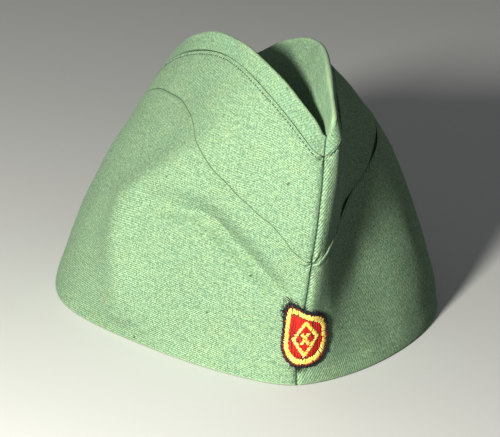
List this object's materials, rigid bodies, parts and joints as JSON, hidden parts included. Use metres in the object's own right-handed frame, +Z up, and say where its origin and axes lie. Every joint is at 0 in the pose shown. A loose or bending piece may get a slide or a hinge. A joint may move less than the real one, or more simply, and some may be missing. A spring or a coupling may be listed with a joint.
{
  "type": "garrison cap",
  "caption": "Soft wool garrison cap, opened as worn, with a deep fold between its two ridges, a turned-up curtain and an embroidered cockade.",
  "frame": {"origin": "middle of the rim's box, on the plane that the rim rests on", "axes": "+Z up, the front of the cap towards -Y, the wearer's left towards +X"},
  "size_m": [0.1717, 0.2053, 0.1273],
  "materials": {
    "twill": "sage green wool-blend twill of the crown, fine diagonal rib with light and dark flecks",
    "curtain_twill": "the same sage green twill on the turned-up curtain",
    "embroidery": "satin-stitched patch: red field, gold figure, black overlocked edge"
  },
  "bodies": {
    "root": {"side_panel_right": "twill", "side_panel_left": "twill", "crown_top": "twill", "curtain_right": "curtain_twill", "curtain_left": "curtain_twill", "cockade": "embroidery"}
  },
  "joints": []
}
